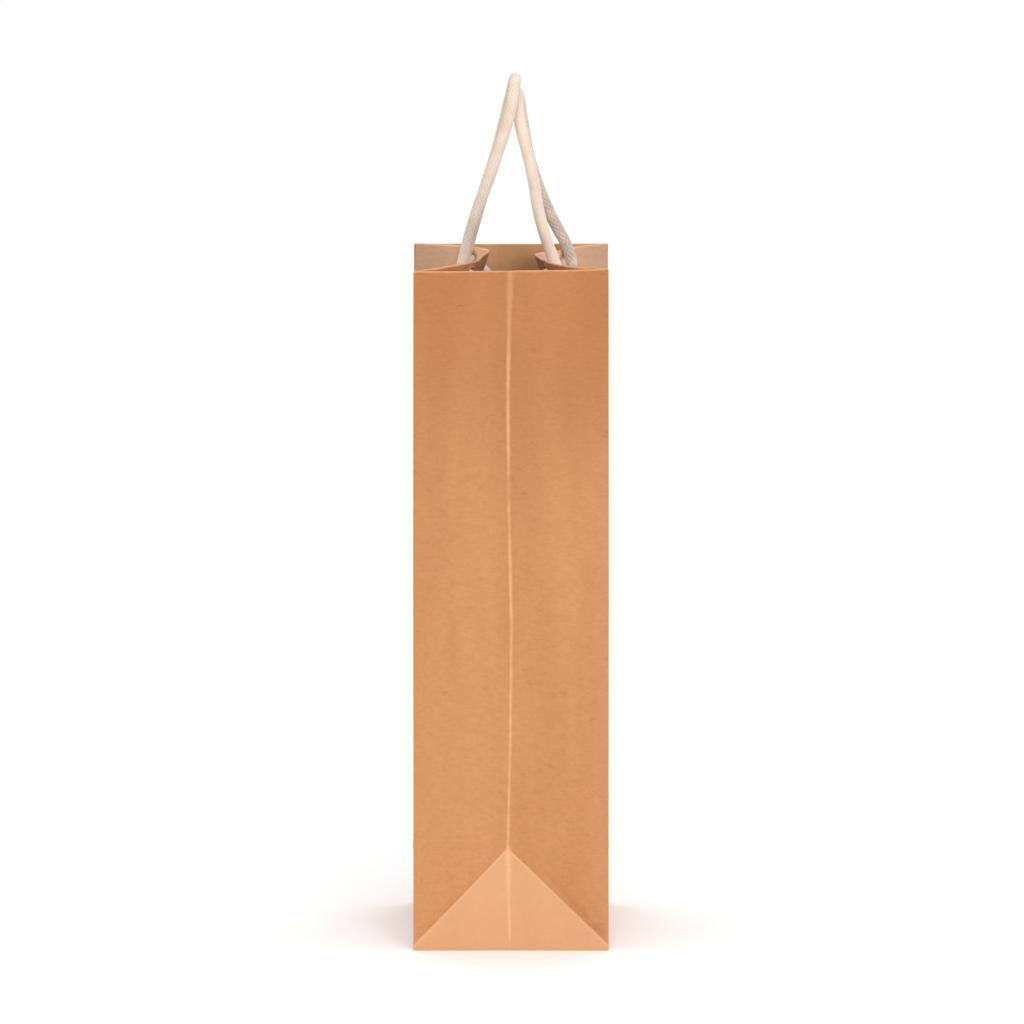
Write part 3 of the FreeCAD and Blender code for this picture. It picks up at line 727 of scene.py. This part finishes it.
def sheet_rows():
    """Heights up the outside, over the rim and down the inside, and the fold's angle at each."""
    foot = [0, 0.0004, 0.001]
    foot += [FOOT_EDGE + (APEX - FOOT_EDGE) * cell / FOOT_CELLS for cell in range(FOOT_CELLS + 13)]
    below = fill([foot[-1], HOLE_HEIGHT - PATCH], ROW_STEP)[1:-1]
    top = square_round(HOLE_HEIGHT) + [RIM - WIDE_STACK / 2]
    outside = np.concatenate([foot, below, top])
    inside = outside[outside > HEM_FOOT][::-1]
    inside = np.concatenate([inside, [HEM_FOOT]])
    arc = np.linspace(0, math.pi, FOLD_STEPS + 1)[1:-1]
    heights = np.concatenate([outside, np.full(len(arc), RIM), inside])
    angles = np.concatenate([np.zeros(len(outside)), arc, np.full(len(inside), math.pi)])
    return heights, angles


def wide_columns(name):
    marks = [0, 0.0003, 0.0007, 0.0012, 0.002, 0.0035]
    marks += [2 * HALF_WIDE - mark for mark in marks]
    for at in WIDE_FACES[name][1]:
        marks += square_round(at * MM)
    return fill(marks, COLUMN_STEP)


def gusset_columns():
    shares = [cell / FOOT_CELLS for cell in range(-FOOT_CELLS, FOOT_CELLS + 1)]
    fine = [0.005, 0.009, 0.024]
    fine += [1 - 0.005, 1 - 0.009]
    return np.array(sorted(shares + fine + [-share for share in fine]))


def open_holes(name, along, height):
    """Bends the mesh's lines round each rope hole, and says which points lie inside a hole."""
    inside = np.zeros(along.shape, bool)
    for at in WIDE_FACES[name][1]:
        a = (along - at * MM) / PATCH
        b = (height - HOLE_HEIGHT) / PATCH
        square = np.maximum(np.abs(a), np.abs(b))
        near = (square < 1 - 1e-6) & (square > 1e-6)
        circle = np.hypot(a, b)
        size = np.where(near, square, 1.0)
        reach = np.where(near, np.maximum(circle, 1e-9), 1.0)
        share = np.clip((size - 0.5) / 0.5, 0, 1)
        scale = (1 - share) * (HOLE_RADIUS / PATCH) / reach + share / size
        scale = np.where(size < 0.5, (HOLE_RADIUS / PATCH) / reach * size / 0.5, scale)
        along = np.where(near, at * MM + a * scale * PATCH, along)
        height = np.where(near, HOLE_HEIGHT + b * scale * PATCH, height)
        inside |= square < 0.5 - 1e-6
    return along, height, inside


def end_slope(name, end):
    """Sine of the angle at which a wide face leaves its corner, at the rim."""
    bow = WIDE_FACES[name][0]
    if end == "right":
        return bow[1][1] / bow[1][0]
    return bow[-2][1] / (bow[-1][0] - bow[-2][0])


def corner_reach(name, end, height):
    """How far an inner ply of unit offset stays from the corner, along the wall."""
    lean = np.arcsin(np.clip(end_slope(name, end) * pinch_at(height), 0, 0.98))
    tucked = math.asin(TUCK / HALF_GUSSET)
    return 1 / np.tan((math.pi / 2 - lean - tucked) / 2)


CORNER_ZONE = 0.016  # inner plies ease back to the wall over this


def kept_from_corner(distance, offset, reach):
    """An inner ply's distance from a corner, for its outer ply's distance."""
    start = np.minimum(offset * reach, 0.6 * CORNER_ZONE)
    return np.where(distance < CORNER_ZONE, start + distance * (1 - start / CORNER_ZONE), distance)


def offset_inwards(points, before, after, offset):
    """Points moved into the bag, square to the wall in plan."""
    tangent = (after - before)[..., :2]
    tangent = tangent / np.linalg.norm(tangent, axis=-1, keepdims=True)
    inwards = np.stack([-tangent[..., 1], tangent[..., 0], np.zeros_like(tangent[..., 0])], axis=-1)
    return points + inwards * offset[..., None]


SAMPLE = 0.0002  # for measuring the wall's direction


def wide_ply(name, along, height, offset):
    """A ply of a wide face at an inward offset. The points run from right to left."""
    length = 2 * HALF_WIDE
    along = kept_from_corner(along, offset, corner_reach(name, "right", height))
    along = length - kept_from_corner(length - along, offset, corner_reach(name, "left", height))
    points = wide_point(name, along, height)
    before = wide_point(name, np.clip(along - SAMPLE, 0, length), height)
    after = wide_point(name, np.clip(along + SAMPLE, 0, length), height)
    if name == "front":
        before, after = after, before
    return offset_inwards(points, before, after, offset)


def gusset_ply(name, share, height, offset):
    """A ply of a gusset at an inward offset. The points run from front to back."""
    from_front = HALF_GUSSET * (1 + share)
    from_front = kept_from_corner(from_front, offset, corner_reach("front", name, height))
    from_back = 2 * HALF_GUSSET - from_front
    from_back = kept_from_corner(from_back, offset, corner_reach("back", name, height))
    share = 1 - from_back / HALF_GUSSET
    step = SAMPLE / HALF_GUSSET
    points = gusset_point(name, share, height)
    before = gusset_point(name, np.clip(share - step, -1, 1), height)
    after = gusset_point(name, np.clip(share + step, -1, 1), height)
    if name == "left":
        before, after = after, before
    return offset_inwards(points, before, after, offset)


def rim_lift(x, y):
    """The rim isn't quite level: it stands higher at the near back corner, and waves a little."""
    corner = np.hypot(x - HALF_GUSSET, y + HALF_WIDE - RIM_INSET)
    lift = CORNER_LIFT * np.exp(-corner / CORNER_LIFT_REACH)
    return lift + RIM_WAVE * waves(x, y, 0.0, 0.02, seed=5.0)


def wide_lines(name, along, height, outside):
    """Distance in millimetres from a wide face's pale lines of wear and painted highlight: flat-fold,
    hole rings, rim.
    """
    ring = hole_distance(name, along, height) - HOLE_RING
    line = np.where(height > WAIST, ring, height - APEX)
    line = np.where(np.abs(line) < RIM - height, line, RIM - height) / MM
    return np.where(outside, line, (RIM - height) / MM)


def sheet_wall(name):
    """One wall of the sheet: its points, its attributes, and which points are in a rope hole."""
    heights, angles = sheet_rows()
    wide = name in WIDE_FACES
    columns = wide_columns(name) if wide else gusset_columns()
    across, up = np.meshgrid(columns, heights)
    angle = np.broadcast_to(angles[:, None], up.shape)
    if wide:
        card = smoothstep(CARD_ENDS[0] - CARD_EASE, CARD_ENDS[0], across)
        card = card * (1 - smoothstep(CARD_ENDS[1], CARD_ENDS[1] + CARD_EASE, across))
        stack = GUSSET_STACK + (WIDE_STACK - GUSSET_STACK) * card
        across, up, inside = open_holes(name, across, up)
    else:
        stack = np.full(up.shape, GUSSET_STACK)
        inside = np.zeros(up.shape, bool)
    radius = stack / 2
    offset = radius * (1 - np.cos(angle))
    level = np.minimum(up, RIM - radius) + radius * np.sin(angle) * (up > RIM - WIDE_STACK)
    ply = wide_ply if wide else gusset_ply
    points = ply(name, across, level, offset)
    outside = angle < TURNED
    if wide:
        # Painted grey sheen on the outside of the wide faces, growing towards the rim.
        attributes = {"foot_fold": np.full(up.shape, NO_FOLD),
                      "centre_fold": np.full(up.shape, NO_FOLD),
                      "line": wide_lines(name, across, level, outside),
                      "wide_face_sheen": smoothstep(SHEEN_FOOT, RIM, level) * outside}
    else:
        fold_width = np.interp(level / MM, *zip(*CREASE_WIDTH, strict=True))
        fold_width = np.where(outside, fold_width, 0.8)
        attributes = {"foot_fold": np.where(outside, foot_distance(across, level) / MM, NO_FOLD),
                      "centre_fold": across * HALF_GUSSET / MM / fold_width,
                      "line": (RIM - level) / MM,
                      "wide_face_sheen": np.zeros(up.shape)}
    # The pinched lips are paler near the rim.
    lip = hump(across - LIP_PLACE, LIP_WIDTH) if wide else np.zeros(up.shape)
    attributes["lip_pale"] = lip * smoothstep(LIP_FOOT, LIP_FULL, level) * outside
    # Painted shade: darker towards the rim outside, and on the inner side of the wide faces' turned rim.
    attributes["rim_painted_shade"] = np.where(outside, smoothstep(SHADE_FOOT, RIM, level), 0.8 if wide else 0.0)
    # Painted light: the gussets' turned-in rim is made paler.
    attributes["inner"] = np.where(outside, 0.0, 0.0 if wide else 1.0)
    attributes["sheet"] = np.ones(up.shape)
    # Walls follow one another round the bag: right, back, left, front.
    if name in ("left", "front"):
        points = points[:, ::-1]
        inside = inside[:, ::-1]
        attributes = {key: values[:, ::-1] for key, values in attributes.items()}
    return points, attributes, inside


def rounded_corners(rings, corners):
    """Rounds the corner creases by averaging nearby points of each ring."""
    count = rings.shape[1]
    for _ in range(2):
        smooth = 0.5 * rings + 0.25 * (np.roll(rings, 1, axis=1) + np.roll(rings, -1, axis=1))
        for corner in corners:
            for step in range(-2, 3):
                column = (corner + step) % count
                rings[:, column] = smooth[:, column]
    return rings


def add_sheet():
    """The bag's one sheet: four walls, creased at the corners, with the rim turned over inwards."""
    walls = [sheet_wall(name) for name in ("right", "back", "left", "front")]
    points = np.concatenate([wall[0][:, :-1] for wall in walls], axis=1)
    inside = np.concatenate([wall[2][:, :-1] for wall in walls], axis=1)
    attributes = {key: np.concatenate([wall[1][key][:, :-1] for wall in walls], axis=1)
                  for key in walls[0][1]}
    sizes = [wall[0].shape[1] - 1 for wall in walls]
    corners = [sum(sizes[:count]) for count in range(4)]
    points = rounded_corners(points, corners)
    near_rim = smoothstep(0.30, RIM, points[..., 2])
    points[..., 2] += near_rim * rim_lift(points[..., 0], points[..., 1])

    rows, columns = points.shape[:2]
    hidden = inside.reshape(-1)
    faces = [face for face in grid_faces(rows, columns, closed=True)
             if not any(hidden[index] for index in face)]
    sheet = add_mesh("kraft_sheet", points.reshape(-1, 3), faces, PAPER_LOOK, attributes)
    drop_loose(sheet)
    thicken(sheet, PAPER)
    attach(sheet, "bag")
    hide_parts("front_panel", "back_panel", "front_hem", "back_hem", "right_hem", "left_hem",
                "right_gusset_front_half", "right_gusset_back_half", "right_gusset_triangle",
                "left_gusset_front_half", "left_gusset_back_half", "left_gusset_triangle")


def drop_loose(obj):
    """Removes points that no face uses."""
    mesh = bmesh.new()
    mesh.from_mesh(obj.data)
    loose = [vertex for vertex in mesh.verts if not vertex.link_faces]
    bmesh.ops.delete(mesh, geom=loose, context="VERTS")
    mesh.to_mesh(obj.data)
    mesh.free()


def add_strip(name, face, columns, heights, thickness, look):
    """A strip of paper or board that follows a wide face on its inner side."""
    across, up = np.meshgrid(columns, heights)
    across, up, inside = open_holes(face, across, up)
    points = wide_ply(face, across, up, np.full(up.shape, UNDER_PANEL))
    if face == "front":
        points = points[:, ::-1]
        inside = inside[:, ::-1]
    hidden = inside.reshape(-1)
    faces = [cells for cells in grid_faces(*points.shape[:2])
             if not any(hidden[index] for index in cells)]
    strip = add_mesh(name, points.reshape(-1, 3), faces, look)
    drop_loose(strip)
    thicken(strip, thickness)
    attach(strip, "bag")
    return strip


def add_rim_card(face):
    marks = list(CARD_ENDS)
    for at in WIDE_FACES[face][1]:
        marks += square_round(at * MM)
    levels = [CARD_FOOT, HOLE_HEIGHT - PATCH] + square_round(HOLE_HEIGHT) + [RIM - WIDE_STACK / 2]
    card = add_strip(f"{face}_rim_board", face, fill(marks, COLUMN_STEP), fill(levels, ROW_STEP), BOARD,
                     BOARD_LOOK)
    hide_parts(f"{face}_rim_card")


def add_glue_flap():
    width = GLUE_FLAP[1][1] - GLUE_FLAP[0][1]
    end = 2 * HALF_WIDE - 0.001
    heights = fill([GLUE_FLAP[0][2], WAIST, GLUE_FLAP[1][2]], ROW_STEP)
    flap = add_strip("glued_seam", "back", fill([end - width, end], COLUMN_STEP), heights, PAPER,
                     PAPER_LOOK)
    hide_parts("glue_flap")


add_sheet()
for face_name in WIDE_FACES:
    add_rim_card(face_name)
add_glue_flap()

# ---------------------------------------------------------------- knots

KNOT_RADIUS = 0.006
# How far each knot hangs below its hole.
KNOT_SAG = {"front_right": 0.005, "front_left": 0.009, "back_right": 0.005, "back_left": 0.004}
KNOT_ROPE = 0.0025      # the rope's radius where the knot squeezes it
SHANK_ROPE = 0.0027     # and where the hole squeezes it
SHANK_TOP = 0.0012      # the shank starts this far above the hinge line
SHANK_BEND = 0.0004     # and bends this far below it
HOLE_APPROACH = 0.0022  # to enter its hole squarely from this far outside
# An overhand knot's route and its tail: into the bag, to the left along the wall, and up, in
# millimetres from the knot's centre.
KNOT_ROUTE = [
    (-3.0, 0.0, 2.5), (1.0, 3.2, 2.2), (3.4, 2.4, -1.5), (1.5, -2.5, -3.2), (-2.2, -3.2, -0.5),
    (-1.6, -0.6, 3.4), (2.6, 0.2, 3.2), (3.6, 0.8, -0.5), (0.6, 1.2, -3.6), (0.2, 0.8, -8.0),
    (0.3, 0.3, -13.0),
]
FRAY_COUNT = 16
FRAY_RADIUS = 0.00035
FRAY_STEP = 0.0004
FRAY_SIDES = 8
FRAY_SEEDS = {"right": 1.3, "left": 4.1}


def hole_frame(face, at):
    """A rope hole's centre on the outside of the paper, and the way out of it."""
    along = np.array(at * MM)
    height = np.array(HOLE_HEIGHT)
    centre = wide_point(face, along, height)
    tangent = wide_point(face, along + 0.002, height) - wide_point(face, along - 0.002, height)
    tangent /= np.linalg.norm(tangent)
    side = WIDE_FACES[face][2]
    outward = np.array([tangent[1], -tangent[0], 0]) * side
    return centre, outward


def joined_mesh(objects, name):
    """One object from several."""
    merged = bmesh.new()
    for obj in objects:
        merged.from_mesh(obj.data)
        old = obj.data
        bpy.data.objects.remove(obj)
        bpy.data.meshes.remove(old)
    mesh = bpy.data.meshes.new(name)
    merged.to_mesh(mesh)
    merged.free()
    mesh.shade_smooth()
    mesh.materials.append(ROPE_LOOK)
    obj = bpy.data.objects.new(name, mesh)
    bpy.context.scene.collection.objects.link(obj)
    return obj


def add_fray(name, start, seed):
    """Loose yarns that splay from a cut rope end."""
    yarns = []
    for number in range(FRAY_COUNT):
        turn = 2 * math.pi * number / FRAY_COUNT
        reach = 0.6 + 0.4 * noise.noise(Vector((number * 1.7, seed, 0.3)))
        drop = 4.0 + 1.6 * noise.noise(Vector((number * 2.3, seed, 5.1)))
        way = np.array([math.cos(turn), math.sin(turn), 0.0])
        route = [start + way * 1.4 * MM + (0, 0, 1.5 * MM), start + way * 1.8 * MM,
                 start + (way * (2.0 + reach) + (0, 0, -0.55 * drop)) * MM,
                 start + (way * (2.4 + 2 * reach) + (0, 0, -drop)) * MM]
        line = resample(smooth_line(route), FRAY_STEP)
        yarns.append(rope_mesh(f"{name}_{number}", line, FRAY_RADIUS, FRAY_SIDES))
    return yarns


def smooth_line(route):
    """A NURBS line through a short route in metres."""
    return rope_line("line", [tuple(value / MM for value in point) for point in route])


def add_knot(face, at, end_name, pivot, seed):
    """The rope from the hinge line through its hole, and the knot and frayed tail inside."""
    centre, outward = hole_frame(face, at)
    sideways = np.array([outward[1], -outward[0], 0.0]) * WIDE_FACES[face][2]
    sag = np.array([0, 0, KNOT_SAG[f"{face}_{end_name}"]])
    knot_centre = centre - outward * (WIDE_STACK + KNOT_RADIUS) - sag
    route = []
    for into, left, up in KNOT_ROUTE:
        route.append(knot_centre + (-outward * into + sideways * left + np.array([0, 0, up])) * MM)
    pivot = np.array(pivot) * MM
    # The rope goes straight through the paper before it turns down into the knot.
    inner = centre - outward * (WIDE_STACK + KNOT_ROPE)
    through = [pivot + (0, 0, SHANK_TOP), pivot - (0, 0, SHANK_BEND), centre + outward * HOLE_APPROACH,
               inner]
    shank = rope_mesh("shank", resample(smooth_line(through), ROPE_STEP), SHANK_ROPE)
    knotted = smooth_line([centre - outward * WIDE_STACK, inner] + route)
    body = rope_mesh("body", resample(knotted, ROPE_STEP), KNOT_ROPE)
    pieces = [shank, body] + add_fray("yarn", route[-1], seed)
    node = f"{face}_{end_name}_knot"
    knot = joined_mesh(pieces, f"{node}_braid")
    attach(knot, "bag")
    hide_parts(node)


ROUTES = {"front": FRONT_ROPE, "back": BACK_ROPE}
for number, face_name in enumerate(WIDE_FACES):
    right_hole, left_hole = WIDE_FACES[face_name][1]
    add_knot(face_name, right_hole, "right", ROUTES[face_name][0], FRAY_SEEDS["right"] + number)
    add_knot(face_name, left_hole, "left", ROUTES[face_name][-1], FRAY_SEEDS["left"] + number)

# ---------------------------------------------------------------- flaps and card from the frame

BOTTOM_NODES = {
    "front_bottom_flap": PAPER_LOOK, "back_bottom_flap": PAPER_LOOK, "right_bottom_flap": PAPER_LOOK,
    "left_bottom_flap": PAPER_LOOK, "base_card": BOARD_LOOK,
}
for node_name, look in BOTTOM_NODES.items():
    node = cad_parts[node_name]
    node.data.materials.clear()
    node.data.materials.append(look)

# ---------------------------------------------------------------- floor and light

FLOOR_HALF = 0.9
WHITE = (1.0, 1.0, 1.0, 1.0)
AMBIENT = 0.62  # strength of the light from all round


def add_floor():
    half = FLOOR_HALF
    vertices = [(-half, -half, 0), (half, -half, 0), (half, half, 0), (-half, half, 0)]
    floor = add_mesh("floor", vertices, [(0, 1, 2, 3)], floor_white())


def add_area_light(name, location, target, size, power):
    data = bpy.data.lights.new(name, "AREA")
    data.shape = "SQUARE"
    data.size = size
    data.energy = power
    light = bpy.data.objects.new(name, data)
    light.location = location
    direction = Vector(target) - Vector(location)
    light.rotation_euler = direction.to_track_quat("-Z", "Y").to_euler()
    bpy.context.scene.collection.objects.link(light)


def add_world():
    """White behind the object, and a softer light from all round on it."""
    world = bpy.data.worlds.new("studio")
    bpy.context.scene.world = world
    world.use_nodes = True
    tree = world.node_tree
    seen = tree.nodes["Background"]
    seen.inputs["Color"].default_value = WHITE
    seen.inputs["Strength"].default_value = 1.0
    ambient = tree.nodes.new("ShaderNodeBackground")
    ambient.inputs["Color"].default_value = WHITE
    ambient.inputs["Strength"].default_value = AMBIENT
    rays = tree.nodes.new("ShaderNodeLightPath")
    blend = tree.nodes.new("ShaderNodeMixShader")
    tree.links.new(rays.outputs["Is Camera Ray"], blend.inputs["Fac"])
    tree.links.new(ambient.outputs["Background"], blend.inputs[1])
    tree.links.new(seen.outputs["Background"], blend.inputs[2])
    tree.links.new(blend.outputs["Shader"], tree.nodes["World Output"].inputs["Surface"])


add_floor()
add_world()
add_area_light("key", (0.9, -2.5, 1.05), (0, 0, 0.2), 0.9, 22)
add_area_light("fill", (-0.1, -2.0, 1.9), (0, 0, 0.25), 0.8, 11.5)
add_area_light("overhead", (0, 0.3, 2.6), (0, 0, 0.1), 2.4, 34)
bpy.context.scene.view_settings.view_transform = "Standard"
